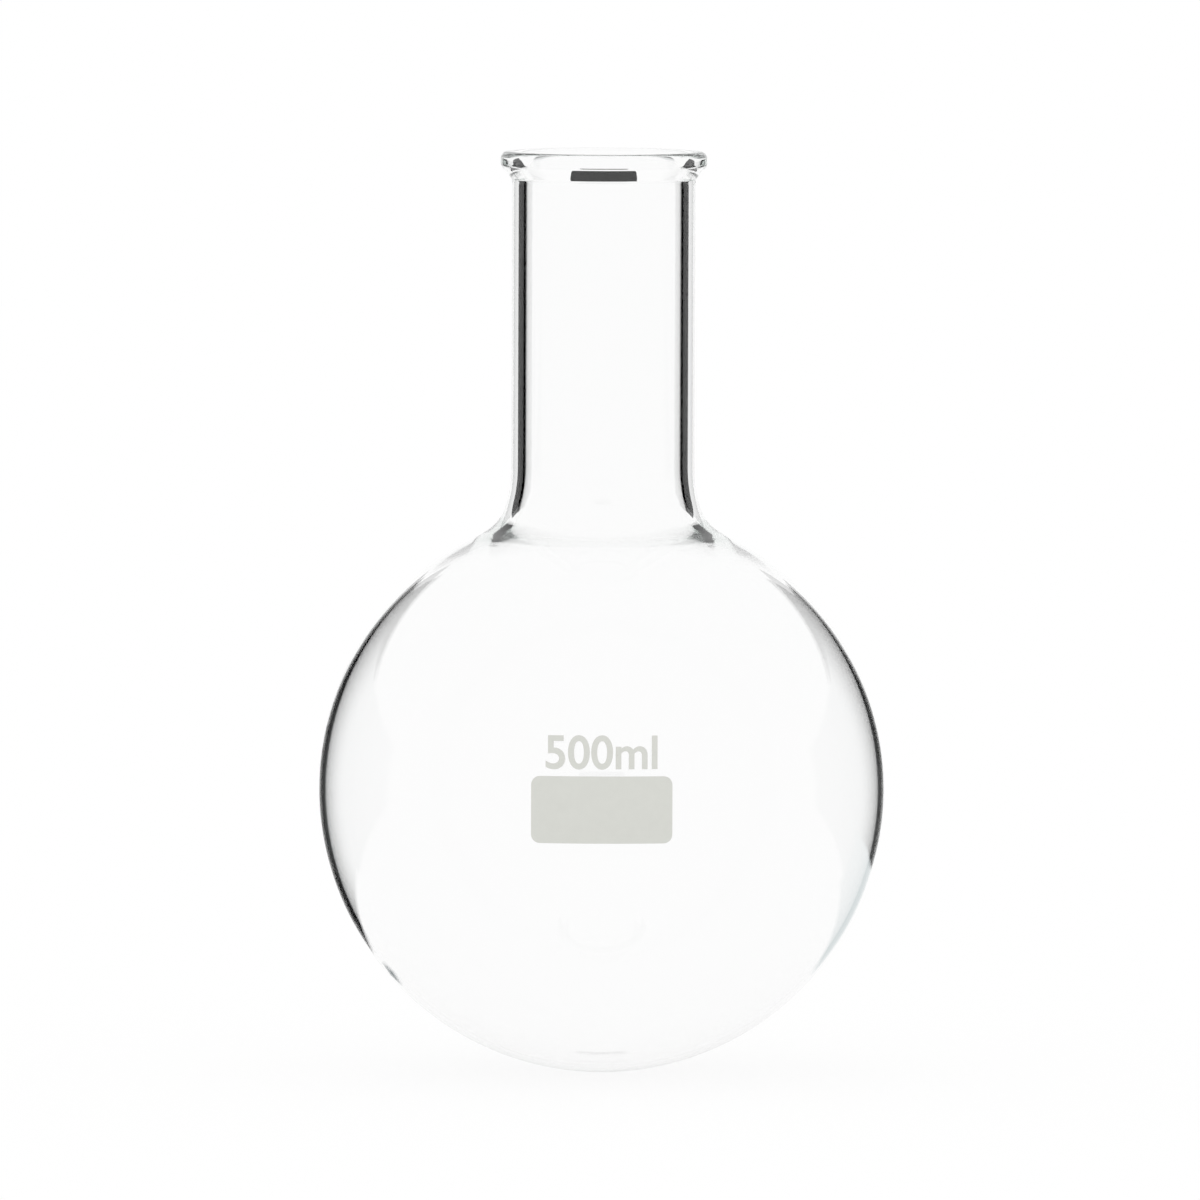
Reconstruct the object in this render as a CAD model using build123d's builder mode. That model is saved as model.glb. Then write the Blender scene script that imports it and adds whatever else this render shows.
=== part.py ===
# Round-bottom boiling flask, 500 ml, with a single plain neck and a beaded lip.
#
# The flask is one blown piece of borosilicate glass: a thin ball that thickens towards a
# tooled shoulder, a straight neck with a slightly flared foot, and a thick, beaded lip. A
# patch of fired-on enamel, for pencil notes, lies on the front of the ball.
#
# Millimetres. +Z runs up the neck, the origin is the ball's lowest point, and the
# marking field faces -Y.

from build123d import *

import os
from math import atan2, cos, degrees, radians, sin, sqrt, tan

# Ball and neck, outside sizes of a 500 ml flask
BULB_DIAMETER = 105.0
NECK_DIAMETER = 34.0
TOTAL_HEIGHT = 171.0

# Glass thickness: the ball is blown thin, the neck stays as thick as the tube
BULB_WALL = 1.2
NECK_WALL = 2.7

# Foot of the neck: wall and bore lean outwards there, with a short straight run left
# between the foot's round and the shoulder's
FOOT_ANGLE = 14.5
FOOT_ROUND = 26.0
FOOT_RUN = 0.32

# Hollow of the shoulder between ball and foot, outside and inside
SHOULDER_ROUND = 8.5
INNER_SHOULDER_ROUND = 9.0

# From this many degrees above its equator the cavity's curve is tighter by this much, so
# the wall thickens up to the shoulder
CROWN_ANGLE = 40.0
CROWN_TIGHTER = 4.3

# Beaded lip: how far it stands out from the neck and reaches down it, and how much of
# that height is its upright edge
LIP_OVERHANG = 2.15
LIP_HEIGHT = 5.2
LIP_EDGE_HEIGHT = 2.6
LIP_CROWN_ROUND = 1.35
LIP_EDGE_ROUND = 1.2
LIP_ROOT_ROUND = 1.4

# Mouth: each side of the bore opens a little towards the top, so that a stopper finds
# its way in
MOUTH_FLARE = 1.8
MOUTH_FLARE_DEPTH = 5.0
MOUTH_FLARE_ROUND = 8.0
MOUTH_CROWN_ROUND = 1.2

# Enamel marking field, on the front of the ball at its widest height
FIELD_WIDTH = 25.8
FIELD_HEIGHT = 12.3
FIELD_CORNER_ROUND = 1.6
ENAMEL_THICKNESS = 0.15
ENAMEL_CLEARANCE = 0.05

# Sizes that follow
bulb_radius = BULB_DIAMETER / 2
neck_radius = NECK_DIAMETER / 2
cavity_radius = bulb_radius - BULB_WALL
bore_radius = neck_radius - NECK_WALL
lip_radius = neck_radius + LIP_OVERHANG
mouth_radius = bore_radius + MOUTH_FLARE
enamel_back_radius = bulb_radius + ENAMEL_CLEARANCE
ball_centre = (0, bulb_radius)
crown_round = cavity_radius - CROWN_TIGHTER
crown_centre = (
    CROWN_TIGHTER * cos(radians(CROWN_ANGLE)),
    bulb_radius + CROWN_TIGHTER * sin(radians(CROWN_ANGLE)),
)
lean = radians(FOOT_ANGLE)
foot_slope = FOOT_ROUND * tan(lean / 2) + FOOT_RUN
shoulder_across = neck_radius + SHOULDER_ROUND * cos(lean) + foot_slope * sin(lean)
shoulder_rise = sqrt((bulb_radius + SHOULDER_ROUND) ** 2 - shoulder_across**2)
foot_z = bulb_radius + shoulder_rise - SHOULDER_ROUND * sin(lean) + foot_slope * cos(lean)
lip_root_z = TOTAL_HEIGHT - LIP_HEIGHT
lip_edge_z = TOTAL_HEIGHT - LIP_EDGE_HEIGHT
flare_z = TOTAL_HEIGHT - MOUTH_FLARE_DEPTH


def foot_meets_arc(tube_radius, centre, arc_radius):
    """Degrees above the level, about an arc's centre, at which the foot of a tube meets it."""
    across, rise = tube_radius - centre[0], foot_z - centre[1]
    nearest = rise * cos(lean) - across * sin(lean)
    fall = nearest - sqrt(nearest**2 - across**2 - rise**2 + arc_radius**2)
    return degrees(atan2(rise - fall * cos(lean), across + fall * sin(lean)))


os.makedirs("parts", exist_ok=True)

# The glass: one section, up the outside, over the lip and down the inside, turned
# about the neck's axis
with BuildPart() as flask:
    with BuildSketch(Plane.XZ) as section:
        with BuildLine():
            outer_rise = foot_meets_arc(neck_radius, ball_centre, bulb_radius)
            inner_rise = foot_meets_arc(bore_radius, crown_centre, crown_round)
            outer_ball = CenterArc(ball_centre, bulb_radius, -90, 90 + outer_rise)
            foot_side = Line(outer_ball @ 1, (neck_radius, foot_z))
            neck_side = Line(foot_side @ 1, (neck_radius, lip_root_z))
            lip_underside = Line(neck_side @ 1, (lip_radius, lip_edge_z))
            lip_edge = Line(lip_underside @ 1, (lip_radius, TOTAL_HEIGHT))
            lip_crown = Line(lip_edge @ 1, (mouth_radius, TOTAL_HEIGHT))
            mouth_flare = Line(lip_crown @ 1, (bore_radius, flare_z))
            bore_side = Line(mouth_flare @ 1, (bore_radius, foot_z))
            crown = CenterArc(crown_centre, crown_round, inner_rise, CROWN_ANGLE - inner_rise)
            bore_foot = Line(bore_side @ 1, crown @ 0)
            inner_ball = CenterArc(ball_centre, cavity_radius, CROWN_ANGLE, -90 - CROWN_ANGLE)
            Line(inner_ball @ 1, outer_ball @ 0)
        make_face()
        rounded_corners = (
            (outer_ball @ 1, SHOULDER_ROUND),
            (foot_side @ 1, FOOT_ROUND),
            (neck_side @ 1, LIP_ROOT_ROUND),
            (lip_underside @ 1, LIP_EDGE_ROUND),
            (lip_edge @ 1, LIP_CROWN_ROUND),
            (lip_crown @ 1, MOUTH_CROWN_ROUND),
            (mouth_flare @ 1, MOUTH_FLARE_ROUND),
            (bore_side @ 1, FOOT_ROUND + NECK_WALL),
            (bore_foot @ 1, INNER_SHOULDER_ROUND),
        )
        for corner, radius in rounded_corners:
            fillet(section.vertices().sort_by_distance(corner)[0], radius)
    revolve(axis=Axis.Z)
flask.part.label = "flask"
export_step(flask.part, "parts/flask.step")

# The enamel: a skin a hair outside the ball, cut to a rounded rectangle as seen from
# the front
with BuildPart() as marking_field:
    with BuildSketch(Plane.XZ):
        with Locations(ball_centre):
            RectangleRounded(FIELD_WIDTH, FIELD_HEIGHT, FIELD_CORNER_ROUND)
    extrude(amount=BULB_DIAMETER)
    with Locations((0, 0, bulb_radius)):
        Sphere(enamel_back_radius + ENAMEL_THICKNESS, mode=Mode.INTERSECT)
        Sphere(enamel_back_radius, mode=Mode.SUBTRACT)
marking_field.part.label = "marking_field"
export_step(marking_field.part, "parts/marking_field.step")
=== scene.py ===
"""Looks of a 500 ml round-bottom flask: blown borosilicate glass, fired enamel and a pale studio."""

import logging
import math
from dataclasses import dataclass, field
from enum import Enum

import bmesh
import bpy
from mathutils import Matrix, Quaternion, Vector


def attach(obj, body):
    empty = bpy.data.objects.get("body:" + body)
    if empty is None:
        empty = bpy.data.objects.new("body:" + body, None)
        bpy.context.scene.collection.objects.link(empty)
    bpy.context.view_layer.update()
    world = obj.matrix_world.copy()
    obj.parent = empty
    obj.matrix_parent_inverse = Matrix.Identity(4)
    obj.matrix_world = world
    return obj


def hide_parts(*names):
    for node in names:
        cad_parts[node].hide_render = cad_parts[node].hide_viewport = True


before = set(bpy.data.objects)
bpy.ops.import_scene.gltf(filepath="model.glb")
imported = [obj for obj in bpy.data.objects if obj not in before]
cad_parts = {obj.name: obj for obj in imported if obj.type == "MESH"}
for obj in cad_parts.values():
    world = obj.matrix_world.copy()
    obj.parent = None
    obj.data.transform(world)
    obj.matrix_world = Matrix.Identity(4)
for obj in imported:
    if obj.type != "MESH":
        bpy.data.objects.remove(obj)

log = logging.getLogger("flask")

MM = 0.001
BODY = "root"

# Vertices that lie closer than this are one, in millimetres: the poles of the turned glass, and the points of letters
WELD_TURNED = 0.002
WELD_LETTERS = 0.001

# A vertex that lies this close to a cutting plane counts as on it, in millimetres
CUT_TOLERANCE = 0.0001

# The pale grey that the studio's sides show in the glass, and a count of glass surfaces that no light passes
SIDE_GREY = "E1E3E3"
ALL_SURFACES = 1000


class Slot(Enum):
    """The record's material slots."""

    GLASS = "borosilicate_glass"
    ENAMEL = "fired_enamel"


def srgb(hex_colour: str) -> tuple[float, float, float, float]:
    """Turns an sRGB hex colour into linear light.

    Args:
        hex_colour: Six hex digits, such as "D5D6D0".

    Returns:
        Red, green, blue and alpha in linear light.
    """
    channels = [int(hex_colour[i:i + 2], 16) / 255 for i in (0, 2, 4)]
    linear = [c / 12.92 if c <= 0.04045 else ((c + 0.055) / 1.055) ** 2.4 for c in channels]
    return (*linear, 1.0)


def add_node(
    tree: bpy.types.NodeTree,
    kind: str,
    settings: dict[str, object] | None = None,
    inputs: dict[str | int, object] | None = None,
    links: dict[str | int, bpy.types.NodeSocket] | None = None,
) -> bpy.types.Node:
    """Adds a node with its settings, socket values and incoming links.

    Args:
        tree: The tree that gets the node.
        kind: The node's type, such as "ShaderNodeTexNoise".
        settings: Properties of the node itself.
        inputs: Values for its input sockets, by name or index.
        links: Output sockets that feed its input sockets, by name or index.

    Returns:
        The new node.
    """
    node = tree.nodes.new(kind)
    for name, value in (settings or {}).items():
        setattr(node, name, value)
    for name, value in (inputs or {}).items():
        node.inputs[name].default_value = value
    for name, socket in (links or {}).items():
        tree.links.new(socket, node.inputs[name])
    return node


def empty_material(name: str) -> bpy.types.Material:
    """Makes a node material with nothing in its tree."""
    material = bpy.data.materials.new(name)
    material.use_nodes = True
    material.node_tree.nodes.clear()
    return material


@dataclass(frozen=True)
class BorosilicateGlass:
    """Borosilicate glass, blown in the flame and fire-polished."""

    # The eye gets a clear wall that shows only at its edges, where it guides light round and draws dark and white
    # lines. Its thick parts have a faint cold cast. The blown wall swells by about a hundredth of a millimetre over a
    # few centimetres, which makes the lines waver a little.
    name: str = "borosilicate_glass_blown"
    refractive_index: float = 1.473
    tint: str = "FEFEFE"
    deep_tint: str = "C9D2CE"
    absorption_per_m: float = 6.0
    ripple_mm: float = 26.0
    ripple_height_mm: float = 0.012
    ripple_detail: float = 1.0
    ripple_roughness: float = 0.4

    def make(self) -> bpy.types.Material:
        """Builds the glass: a clear transmitting surface, a slow blown ripple and absorption in the thickness."""
        material = empty_material(self.name)
        tree = material.node_tree
        place = add_node(tree, "ShaderNodeTexCoord")
        ripple = add_node(
            tree,
            "ShaderNodeTexNoise",
            inputs={
                "Scale": 1 / (self.ripple_mm * MM),
                "Detail": self.ripple_detail,
                "Roughness": self.ripple_roughness,
            },
            links={"Vector": place.outputs["Object"]},
        )
        bump = add_node(
            tree,
            "ShaderNodeBump",
            inputs={"Strength": 1.0, "Distance": self.ripple_height_mm * MM},
            links={"Height": ripple.outputs["Fac"]},
        )
        surface = add_node(
            tree,
            "ShaderNodeBsdfPrincipled",
            inputs={
                "Base Color": srgb(self.tint),
                "Roughness": 0.0,
                "IOR": self.refractive_index,
                "Transmission Weight": 1.0,
            },
            links={"Normal": bump.outputs["Normal"]},
        )
        depth = add_node(
            tree,
            "ShaderNodeVolumeAbsorption",
            inputs={"Color": srgb(self.deep_tint), "Density": self.absorption_per_m},
        )
        add_node(
            tree,
            "ShaderNodeOutputMaterial",
            links={"Surface": surface.outputs["BSDF"], "Volume": depth.outputs["Volume"]},
        )
        return material


@dataclass(frozen=True)
class FiredEnamel:
    """Ceramic enamel, screen-printed as a paste and fired on."""

    # The eye gets a flat pale grey with no shine, so that it takes pencil. The paste lies a little thinner in places,
    # which lightens it in flecks of a millimetre or two. Its grit is really a few hundredths of a millimetre, and is
    # drawn as coarse as it needs to show.
    name: str = "ceramic_enamel_fired"
    colour: str = "D5D6D0"
    thin_colour: str = "DADBD5"
    roughness: float = 0.85
    refractive_index: float = 1.5
    sheen_level: float = 0.25
    mottle_mm: float = 1.6
    mottle_detail: float = 3.0
    grit_mm: float = 0.25
    grit_detail: float = 2.0
    grit_height_mm: float = 0.01

    def make(self) -> bpy.types.Material:
        """Builds the enamel: a matt body with the slight mottle of a printed paste and a fine grit."""
        material = empty_material(self.name)
        tree = material.node_tree
        place = add_node(tree, "ShaderNodeTexCoord")
        mottle = add_node(
            tree,
            "ShaderNodeTexNoise",
            inputs={"Scale": 1 / (self.mottle_mm * MM), "Detail": self.mottle_detail},
            links={"Vector": place.outputs["Object"]},
        )
        colour = add_node(
            tree,
            "ShaderNodeMix",
            settings={"data_type": "RGBA"},
            inputs={6: srgb(self.colour), 7: srgb(self.thin_colour)},
            links={0: mottle.outputs["Fac"]},
        )
        grit = add_node(
            tree,
            "ShaderNodeTexNoise",
            inputs={"Scale": 1 / (self.grit_mm * MM), "Detail": self.grit_detail},
            links={"Vector": place.outputs["Object"]},
        )
        bump = add_node(
            tree,
            "ShaderNodeBump",
            inputs={"Strength": 1.0, "Distance": self.grit_height_mm * MM},
            links={"Height": grit.outputs["Fac"]},
        )
        surface = add_node(
            tree,
            "ShaderNodeBsdfPrincipled",
            inputs={
                "Roughness": self.roughness,
                "IOR": self.refractive_index,
                "Specular IOR Level": self.sheen_level,
            },
            links={"Base Color": colour.outputs[2], "Normal": bump.outputs["Normal"]},
        )
        add_node(tree, "ShaderNodeOutputMaterial", links={"Surface": surface.outputs["BSDF"]})
        return material


@dataclass(frozen=True)
class BacklitPaper:
    """White background paper, matt and lit from behind."""

    # The eye gets an even white ground that keeps a faint part of the flask's shadow. What shows in the glass keeps
    # more of it, so the ball's underside is a shade darker than its middle.
    name: str = "studio_paper_backlit"
    colour: str = "FFFFFF"
    backlight: float = 0.92
    backlight_in_glass: float = 0.7

    def make(self) -> bpy.types.Material:
        """Builds a mix of matt paper and its own glow, by the kind of ray that meets it."""
        material = empty_material(self.name)
        tree = material.node_tree
        paper = add_node(tree, "ShaderNodeBsdfDiffuse", inputs={"Color": srgb(self.colour)})
        glow = add_node(tree, "ShaderNodeEmission", inputs={"Color": srgb(self.colour), "Strength": 1.0})
        path = add_node(tree, "ShaderNodeLightPath")
        share = None
        for ray, level in (
            ("Is Camera Ray", self.backlight),
            ("Is Glossy Ray", self.backlight_in_glass),
            ("Is Transmission Ray", self.backlight_in_glass),
        ):
            share = add_node(
                tree,
                "ShaderNodeMath",
                settings={"operation": "MULTIPLY_ADD", "use_clamp": True},
                inputs={1: level, 2: 0.0},
                links={0: path.outputs[ray]} | ({2: share} if share else {}),
            ).outputs["Value"]
        surface = add_node(
            tree,
            "ShaderNodeMixShader",
            links={0: share, 1: paper.outputs["BSDF"], 2: glow.outputs["Emission"]},
        )
        add_node(tree, "ShaderNodeOutputMaterial", links={"Surface": surface.outputs["Shader"]})
        return material


def new_piece(
    name: str,
    mesh_source: bmesh.types.BMesh,
    material: bpy.types.Material,
    smooth: bool,
) -> bpy.types.Object:
    """Turns a bmesh into a dressed object at the origin.

    Args:
        name: The piece's name.
        mesh_source: Its shape, in metres, in the row frame. It is freed.
        material: Its finish.
        smooth: Whether its faces are shaded smooth.

    Returns:
        The new object, linked to the scene.
    """
    mesh = bpy.data.meshes.new(name)
    mesh_source.to_mesh(mesh)
    mesh_source.free()
    mesh.materials.append(material)
    for polygon in mesh.polygons:
        polygon.use_smooth = smooth
    piece = bpy.data.objects.new(name, mesh)
    bpy.context.scene.collection.objects.link(piece)
    return piece


def report(piece: bpy.types.Object) -> None:
    """Logs a piece's name and the size of its mesh."""
    log.info("%s: %d faces", piece.name, len(piece.data.polygons))


@dataclass
class SectionPen:
    """Draws half a section in the plane y = 0, one vertex chain, in metres."""

    bm: bmesh.types.BMesh
    tip: bmesh.types.BMVert | None = None

    def start(self, r: float, z: float) -> None:
        """Puts the pen down at radius r and height z."""
        self.tip = self.bm.verts.new((r, 0.0, z))

    def line(self, r: float, z: float, steps: int) -> None:
        """Draws a straight run to radius r and height z in equal steps."""
        start = self.tip.co.copy()
        for i in range(steps):
            grown = bmesh.ops.extrude_vert_indiv(self.bm, verts=[self.tip])
            self.tip = grown["verts"][0]
            self.tip.co = start.lerp(Vector((r, 0.0, z)), (i + 1) / steps)

    def arc(self, r: float, z: float, turn: float, steps: int) -> None:
        """Draws an arc about the point at radius r and height z.

        Args:
            r: Radius of the arc's centre.
            z: Height of the arc's centre.
            turn: Angle in radians, positive from +X towards +Z.
            steps: Number of chords.
        """
        swept = bmesh.ops.spin(
            self.bm,
            geom=[self.tip],
            cent=(r, 0.0, z),
            axis=(0.0, -1.0, 0.0),
            angle=turn,
            steps=steps,
            use_duplicate=False,
        )
        self.tip = next(v for v in swept["geom_last"] if isinstance(v, bmesh.types.BMVert))


@dataclass
class Corner:
    """A corner of the section, rounded by an arc of a given radius."""

    r: float
    z: float
    radius: float


@dataclass
class FlaskGlass:
    """The blown glass: ball, shoulder, neck and flared, beaded lip in one closed surface. Millimetres."""

    glass: bpy.types.Material
    height: float = 171.0
    bulb_radius: float = 52.5
    bulb_wall: float = 1.2
    neck_radius: float = 17.0
    bore_radius: float = 14.3
    foot_height: float = 109.0
    foot_angle: float = 14.5
    foot_round: float = 26.0
    shoulder_round: float = 8.5
    inner_shoulder_round: float = 9.0
    crown_angle: float = 40.0
    crown_round: float = 47.0
    lip_overhang: float = 2.15
    lip_height: float = 5.2
    lip_edge_height: float = 2.6
    lip_crown_round: float = 1.35
    lip_edge_round: float = 1.2
    lip_root_round: float = 1.4
    mouth_flare: float = 1.8
    mouth_flare_depth: float = 5.0
    mouth_flare_round: float = 8.0
    mouth_crown_round: float = 1.2
    around: int = 256
    ball_steps: int = 84
    neck_steps: int = 20
    run_steps: int = 2
    round_steps: int = 8
    shoulder_steps: int = 16

    def lip_corners(self) -> list[Corner]:
        """Lists the corners from the neck's foot, over the lip and down to the bore's foot."""
        lip_radius = self.neck_radius + self.lip_overhang
        mouth_radius = self.bore_radius + self.mouth_flare
        inner_foot_round = self.foot_round + self.neck_radius - self.bore_radius
        return [
            Corner(self.neck_radius, self.foot_height, self.foot_round),
            Corner(self.neck_radius, self.height - self.lip_height, self.lip_root_round),
            Corner(lip_radius, self.height - self.lip_edge_height, self.lip_edge_round),
            Corner(lip_radius, self.height, self.lip_crown_round),
            Corner(mouth_radius, self.height, self.mouth_crown_round),
            Corner(self.bore_radius, self.height - self.mouth_flare_depth, self.mouth_flare_round),
            Corner(self.bore_radius, self.foot_height, inner_foot_round),
        ]

    def shoulder_centre(self, middle: Vector, ball: float, foot: Vector, radius: float) -> Vector:
        """Finds where a shoulder arc's centre lies, so that it touches both a ball and the foot's cone.

        Args:
            middle: The ball's centre, as (r, z).
            ball: Radius of the ball.
            foot: The cone's top corner, as (r, z).
            radius: Radius of the shoulder arc.

        Returns:
            The centre, as (r, z).
        """
        lean = math.radians(self.foot_angle)
        down = Vector((math.sin(lean), -math.cos(lean)))
        outward = Vector((math.cos(lean), math.sin(lean)))
        start = foot + outward * radius - middle
        along = start.dot(down)
        reach = math.sqrt(along ** 2 - start.length_squared + (ball + radius) ** 2)
        return start + down * (-along - reach) + middle

    def draw_outer_ball(self, pen: SectionPen, foot: Vector) -> None:
        """Draws the ball's outside from the axis, and the shoulder arc up to the foot's cone."""
        middle = Vector((0.0, self.bulb_radius))
        centre = self.shoulder_centre(middle, self.bulb_radius, foot, self.shoulder_round)
        rise = math.atan2(centre.y - middle.y, centre.x - middle.x)
        pen.arc(0.0, middle.y * MM, math.pi / 2 + rise, self.ball_steps)
        pen.arc(centre.x * MM, centre.y * MM, math.radians(self.foot_angle) - rise, self.shoulder_steps)

    def draw_cavity(self, pen: SectionPen, foot: Vector) -> None:
        """Draws the shoulder's inside down from the foot's cone, the tighter crown under it and the ball's inside."""
        cavity = self.bulb_radius - self.bulb_wall
        start = math.radians(self.crown_angle)
        middle = Vector((math.cos(start), math.sin(start))) * (cavity - self.crown_round)
        middle.y += self.bulb_radius
        centre = self.shoulder_centre(middle, self.crown_round, foot, self.inner_shoulder_round)
        rise = math.atan2(centre.y - middle.y, centre.x - middle.x)
        lean = math.radians(self.foot_angle)
        end = centre - Vector((math.cos(lean), math.sin(lean))) * self.inner_shoulder_round
        pen.line(end.x * MM, end.y * MM, self.run_steps)
        pen.arc(centre.x * MM, centre.y * MM, rise - lean, self.shoulder_steps)
        pen.arc(middle.x * MM, middle.y * MM, start - rise, self.shoulder_steps)
        pen.arc(0.0, self.bulb_radius * MM, -math.pi / 2 - start, self.ball_steps)

    def draw_corner(self, pen: SectionPen, before: Vector, corner: Corner, after: Vector, run_steps: int) -> None:
        """Draws the run up to a corner and the arc round it.

        Args:
            pen: The pen, somewhere on the line from before to the corner.
            before: The last corner, as (r, z).
            corner: The corner to round.
            after: The next corner, as (r, z).
            run_steps: Steps of the straight run.
        """
        here = Vector((corner.r, corner.z))
        back = (before - here).normalized()
        ahead = (after - here).normalized()
        half = back.angle(ahead) / 2
        reach = corner.radius / math.tan(half)
        centre = here + (back + ahead).normalized() * (corner.radius / math.sin(half))
        begin = here + back * reach
        side = ahead.x * back.y - ahead.y * back.x
        turn = math.copysign(math.pi - 2 * half, side)
        pen.line(begin.x * MM, begin.y * MM, run_steps)
        pen.arc(centre.x * MM, centre.y * MM, turn, self.round_steps)

    def section(self, bm: bmesh.types.BMesh) -> None:
        """Draws the glass's section as one chain, up the outside, over the lip and down the bore."""
        pen = SectionPen(bm)
        pen.start(0.0, 0.0)
        corners = self.lip_corners()
        points = [Vector((c.r, c.z)) for c in corners]
        self.draw_outer_ball(pen, points[0])
        lean = math.radians(self.foot_angle)
        below = points[-1] + Vector((math.sin(lean), -math.cos(lean)))
        chain = [Vector((pen.tip.co.x, pen.tip.co.z)) / MM, *points, below]
        neck_runs = (1, len(corners) - 1)
        for i, corner in enumerate(corners):
            run_steps = self.neck_steps if i in neck_runs else self.run_steps
            self.draw_corner(pen, chain[i], corner, chain[i + 2], run_steps)
        self.draw_cavity(pen, points[-1])

    def build(self) -> bpy.types.Object:
        """Turns the section about the neck's axis and closes it.

        Returns:
            The glass, which stands for the CAD node of the same form.
        """
        bm = bmesh.new()
        self.section(bm)
        bmesh.ops.spin(
            bm,
            geom=bm.verts[:] + bm.edges[:],
            cent=(0.0, 0.0, 0.0),
            axis=(0.0, 0.0, 1.0),
            angle=math.tau,
            steps=self.around,
            use_merge=True,
        )
        bmesh.ops.remove_doubles(bm, verts=bm.verts[:], dist=WELD_TURNED * MM)
        bmesh.ops.recalc_face_normals(bm, faces=bm.faces[:])
        piece = new_piece("flask_glass", bm, self.glass, smooth=True)
        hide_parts("flask")
        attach(piece, BODY)
        return piece


@dataclass
class Marking:
    """The print on the ball's front: the marking field and the capacity above it. Millimetres."""

    enamel: bpy.types.Material
    bulb_radius: float = 52.5
    field_width: float = 25.8
    field_height: float = 12.3
    corner_round: float = 1.6
    clearance: float = 0.05
    thickness: float = 0.15
    corner_steps: int = 6
    grid: float = 0.8
    capacity: str = "500ml"
    capacity_rise: float = 10.15
    capacity_size: float = 8.5
    capacity_weight: float = 0.14
    capacity_steps: int = 6
    print_thickness: float = 0.06

    def wrap(self, bm: bmesh.types.BMesh, thickness: float) -> None:
        """Lays a flat shape in the plane y = 0 on the ball's front and gives it a thickness.

        Args:
            bm: The flat shape, its faces in the plane y = 0, in metres.
            thickness: How far it stands proud of its back, in millimetres.
        """
        back = (self.bulb_radius + self.clearance) * MM
        centre = Vector((0.0, 0.0, self.bulb_radius * MM))
        for vert in bm.verts:
            rise = vert.co.z - centre.z
            vert.co.y = -math.sqrt(back ** 2 - vert.co.x ** 2 - rise ** 2)
        front = bmesh.ops.extrude_face_region(bm, geom=bm.faces[:])
        moved = [g for g in front["geom"] if isinstance(g, bmesh.types.BMVert)]
        swell = 1 + thickness * MM / back
        bmesh.ops.scale(bm, verts=moved, vec=(swell,) * 3, space=Matrix.Translation(-centre))
        bmesh.ops.recalc_face_normals(bm, faces=bm.faces[:])

    def slice_grid(self, bm: bmesh.types.BMesh, low: Vector, high: Vector) -> None:
        """Cuts flat faces into cells small enough to follow the ball.

        Args:
            bm: The flat shape, its faces in the plane y = 0, in metres.
            low: Its lowest corner.
            high: Its highest corner.
        """
        for axis in (Vector((1.0, 0.0, 0.0)), Vector((0.0, 0.0, 1.0))):
            start, stop = low.dot(axis), high.dot(axis)
            cuts = max(1, round((stop - start) / (self.grid * MM)))
            for i in range(1, cuts):
                point = axis * (start + (stop - start) * i / cuts)
                geom = bm.verts[:] + bm.edges[:] + bm.faces[:]
                bmesh.ops.bisect_plane(bm, geom=geom, dist=CUT_TOLERANCE * MM, plane_co=point, plane_no=axis)

    def build_field(self) -> bpy.types.Object:
        """Builds the rounded rectangle of enamel for pencil notes."""
        bm = bmesh.new()
        half_x, half_z = self.field_width / 2 * MM, self.field_height / 2 * MM
        middle = Vector((0.0, 0.0, self.bulb_radius * MM))
        turn = Matrix.Rotation(math.pi / 2, 4, "X")
        bmesh.ops.create_grid(bm, x_segments=1, y_segments=1, size=1.0, matrix=turn)
        bmesh.ops.scale(bm, verts=bm.verts[:], vec=(half_x, 1.0, half_z))
        bmesh.ops.translate(bm, verts=bm.verts[:], vec=middle)
        bmesh.ops.bevel(
            bm,
            geom=bm.verts[:],
            offset=self.corner_round * MM,
            offset_type="OFFSET",
            segments=self.corner_steps,
            profile=0.5,
            affect="VERTICES",
            material=-1,
        )
        reach = Vector((half_x, 0.0, half_z))
        self.slice_grid(bm, middle - reach, middle + reach)
        self.wrap(bm, self.thickness)
        piece = new_piece("marking_field_enamel", bm, self.enamel, smooth=False)
        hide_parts("marking_field")
        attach(piece, BODY)
        return piece

    def build_capacity(self) -> bpy.types.Object:
        """Builds the capacity print, a plain number and unit, above the field."""
        curve = bpy.data.curves.new("capacity_outline", "FONT")
        curve.body = self.capacity
        curve.align_x = "CENTER"
        curve.align_y = "CENTER"
        curve.size = self.capacity_size * MM
        curve.offset = self.capacity_weight * MM
        curve.resolution_u = self.capacity_steps
        text = bpy.data.objects.new("capacity_outline", curve)
        flat = bpy.data.meshes.new_from_object(text)
        bm = bmesh.new()
        bm.from_mesh(flat)
        bpy.data.objects.remove(text)
        bpy.data.curves.remove(curve)
        bpy.data.meshes.remove(flat)
        bmesh.ops.remove_doubles(bm, verts=bm.verts[:], dist=WELD_LETTERS * MM)
        place = Matrix.Translation((0.0, 0.0, (self.bulb_radius + self.capacity_rise) * MM))
        bmesh.ops.transform(bm, verts=bm.verts[:], matrix=place @ Matrix.Rotation(math.pi / 2, 4, "X"))
        low = Vector([min(v.co[i] for v in bm.verts) for i in range(3)])
        high = Vector([max(v.co[i] for v in bm.verts) for i in range(3)])
        self.slice_grid(bm, low, high)
        self.wrap(bm, self.print_thickness)
        piece = new_piece("capacity_print", bm, self.enamel, smooth=False)
        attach(piece, BODY)
        return piece


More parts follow.
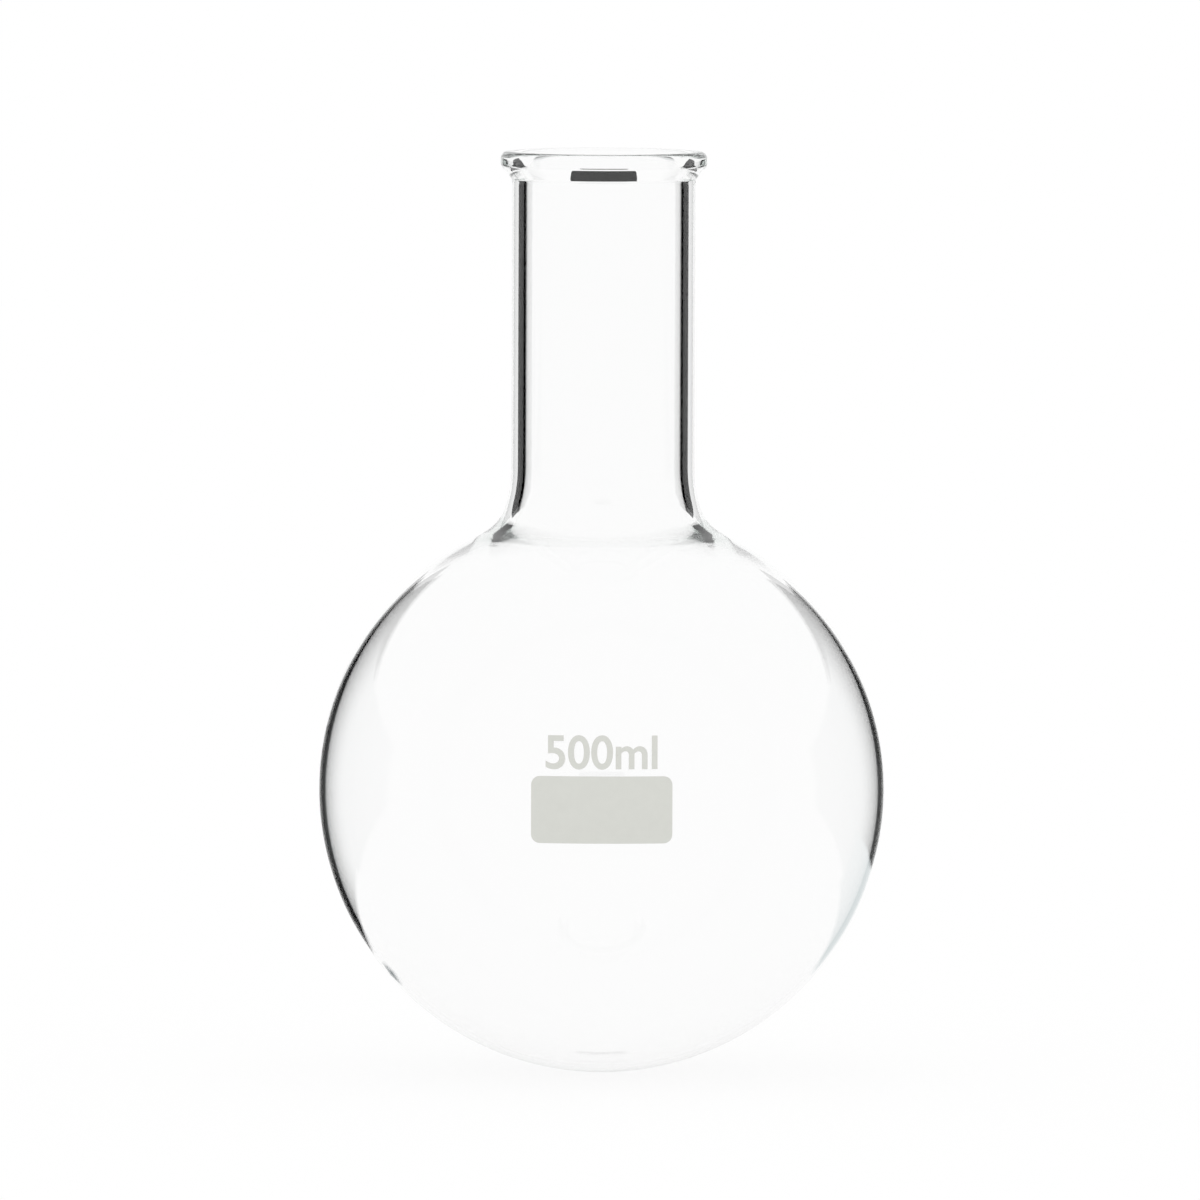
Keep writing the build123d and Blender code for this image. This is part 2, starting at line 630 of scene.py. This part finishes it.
@dataclass
class FlagBoard:
    """A dark board that stands behind the flask, out of the camera's sight, and draws a line in the glass.

    Its outline is a list of points (x, z) in the upright plane y = depth. It has its tone as far out as full, on
    either side of the axis, and its pale tone from clear on. It shows in light that has passed no more than the given
    number of glass surfaces: two for light that is guided along one wall, and four for light that has crossed the
    flask. Millimetres.
    """

    name: str
    depth: float
    outline: list[tuple[float, float]]
    full: float = 1000.0
    clear: float = 2000.0
    tone: str = "020202"
    pale: str = "FFFFFF"
    surfaces: int = 2

    def make_cloth(self) -> bpy.types.Material:
        """Builds the board's matt black cloth, which pales towards its outer edge and is clear past its surfaces."""
        material = empty_material(f"{self.name}_cloth")
        tree = material.node_tree
        place = add_node(tree, "ShaderNodeTexCoord")
        across = add_node(tree, "ShaderNodeSeparateXYZ", links={"Vector": place.outputs["Object"]})
        out = add_node(tree, "ShaderNodeMath", settings={"operation": "ABSOLUTE"}, links={0: across.outputs["X"]})
        pale = add_node(
            tree,
            "ShaderNodeMapRange",
            settings={"interpolation_type": "SMOOTHSTEP"},
            inputs={"From Min": self.full * MM, "From Max": self.clear * MM},
            links={"Value": out.outputs["Value"]},
        )
        tone = add_node(
            tree,
            "ShaderNodeMix",
            settings={"data_type": "RGBA"},
            inputs={6: srgb(self.tone), 7: srgb(self.pale)},
            links={0: pale.outputs["Result"]},
        )
        cloth = add_node(tree, "ShaderNodeEmission", links={"Color": tone.outputs[2]})
        clear = add_node(tree, "ShaderNodeBsdfTransparent")
        path = add_node(tree, "ShaderNodeLightPath")
        crossed = add_node(
            tree,
            "ShaderNodeMath",
            settings={"operation": "GREATER_THAN"},
            inputs={1: self.surfaces + 0.5},
            links={0: path.outputs["Transmission Depth"]},
        )
        surface = add_node(
            tree,
            "ShaderNodeMixShader",
            links={0: crossed.outputs["Value"], 1: cloth.outputs["Emission"], 2: clear.outputs["BSDF"]},
        )
        add_node(tree, "ShaderNodeOutputMaterial", links={"Surface": surface.outputs["Shader"]})
        return material


def studio_boards() -> list[FlagBoard]:
    """Lists the boards.

    Returns:
        Those by the ball, which draw the dark line round its sides and the soft shade inside it, those by the neck,
        which draw its two dark lines, and the one that draws the bar in the lip.
    """
    return [
        FlagBoard("flag_ball_left", 36.0, [
            (-50, 13), (-53, 20), (-57, 33), (-58, 49), (-57, 65), (-54, 82), (-49, 93), (-42, 103), (-113, 103),
            (-113, 13),
        ], 60, 113, pale=SIDE_GREY),
        FlagBoard("flag_ball_right", 36.0, [
            (60, 32), (60, 49), (59, 65), (56, 82), (51, 93), (45, 103), (113, 103), (113, 32),
        ], 60, 113, pale=SIDE_GREY),
        FlagBoard("flag_side_left", 36.0, [(-113, 10), (-113, 103), (-500, 150), (-500, 10)], tone=SIDE_GREY),
        FlagBoard("flag_side_right", 36.0, [(113, 10), (113, 103), (500, 150), (500, 10)], tone=SIDE_GREY),
        FlagBoard("flag_neck_left", 150.0, [(-88, 91), (-88, 172), (-335, 157), (-335, 77)]),
        FlagBoard("flag_neck_right", 150.0, [(91, 91), (91, 172), (335, 157), (335, 77)]),
        FlagBoard("flag_low_left", 36.0, [(-47, 3), (-47, 8), (-53, 8), (-53, 3)], tone="70787A"),
        FlagBoard("flag_low_right", 36.0, [(49, 6), (60, 32), (113, 32), (113, 6)], tone="D8DEDF"),
        FlagBoard("flag_mouth", 600.0, [
            (-26, 274), (-25.5, 265), (-24, 258), (-22, 255), (22, 255), (24, 258), (25.5, 265), (26, 274),
            (25.5, 283), (24, 290), (22, 293), (-22, 293), (-24, 290), (-25.5, 283),
        ], surfaces=ALL_SURFACES),
    ]


@dataclass
class Studio:
    """Camera, floor, pale surroundings and the dark boards that outline the glass. Millimetres."""

    camera_distance: float = 3500.0
    camera_pitch: float = 3.61
    camera_roll: float = 0.2
    aim_shift_x: float = -0.45
    aim_z: float = 87.7
    pixels: int = 1200
    pixels_per_mm: float = 5.39
    sensor_width: float = 36.0
    nearest: float = 50.0
    farthest: float = 50000.0
    floor_size: float = 6000.0
    world_strength: float = 1.0
    glass_bounces: int = 64
    boards: list[FlagBoard] = field(default_factory=studio_boards)

    def build_camera(self) -> None:
        """Puts a long lens at the viewing angle, aimed at the middle of the flask."""
        data = bpy.data.cameras.new("camera")
        data.sensor_width = self.sensor_width
        field_width = self.pixels / self.pixels_per_mm
        data.lens = data.sensor_width * self.camera_distance / field_width
        data.clip_start = self.nearest * MM
        data.clip_end = self.farthest * MM
        camera = bpy.data.objects.new("camera", data)
        bpy.context.scene.collection.objects.link(camera)
        pitch = math.radians(self.camera_pitch)
        back = Vector((0.0, -math.cos(pitch), math.sin(pitch)))
        aim = Vector((self.aim_shift_x, 0.0, self.aim_z))
        camera.location = (aim + back * self.camera_distance) * MM
        roll = Quaternion((0.0, 0.0, 1.0), math.radians(self.camera_roll))
        camera.rotation_euler = ((-back).to_track_quat("-Z", "Y") @ roll).to_euler()
        bpy.context.scene.camera = camera

    def build_floor(self) -> bpy.types.Object:
        """Lays the pale floor that the ball's lowest point touches."""
        bm = bmesh.new()
        bmesh.ops.create_grid(bm, x_segments=1, y_segments=1, size=self.floor_size / 2 * MM)
        floor = new_piece("floor", bm, BacklitPaper().make(), smooth=False)
        return floor

    def build_world(self) -> None:
        """Surrounds the stage with even white light."""
        world = bpy.data.worlds.new("white_surround")
        bpy.context.scene.world = world
        world.use_nodes = True
        tree = world.node_tree
        tree.nodes.clear()
        light = add_node(
            tree,
            "ShaderNodeBackground",
            inputs={"Color": srgb("FFFFFF"), "Strength": self.world_strength},
        )
        add_node(tree, "ShaderNodeOutputWorld", links={"Surface": light.outputs["Background"]})

    def build_board(self, board: FlagBoard) -> bpy.types.Object:
        """Stands one board behind the flask.

        Args:
            board: Its outline, place and tones.

        Returns:
            The board, which only reflections and refractions see.
        """
        bm = bmesh.new()
        bm.faces.new([bm.verts.new((x * MM, board.depth * MM, z * MM)) for x, z in board.outline])
        piece = new_piece(board.name, bm, board.make_cloth(), smooth=False)
        piece.visible_camera = False
        piece.visible_diffuse = False
        piece.visible_shadow = False
        return piece

    def open_light_paths(self) -> None:
        """Lets light pass on through the wall of the glass, where it is guided round the shoulder, to its end."""
        cycles = bpy.context.scene.cycles
        cycles.max_bounces = self.glass_bounces
        cycles.glossy_bounces = self.glass_bounces
        cycles.transmission_bounces = self.glass_bounces

    def build(self) -> None:
        """Builds the whole studio."""
        bpy.context.scene.view_settings.view_transform = "Standard"
        self.open_light_paths()
        self.build_camera()
        self.build_world()
        report(self.build_floor())
        for board in self.boards:
            report(self.build_board(board))


def main() -> None:
    """Builds the flask, its marking and the studio."""
    logging.basicConfig(level=logging.INFO, format="%(name)s %(message)s")
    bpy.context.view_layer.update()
    glass = FlaskGlass(BorosilicateGlass().make())
    report(glass.build())
    marking = Marking(FiredEnamel().make())
    report(marking.build_field())
    report(marking.build_capacity())
    Studio().build()


if __name__ == "__main__":
    main()
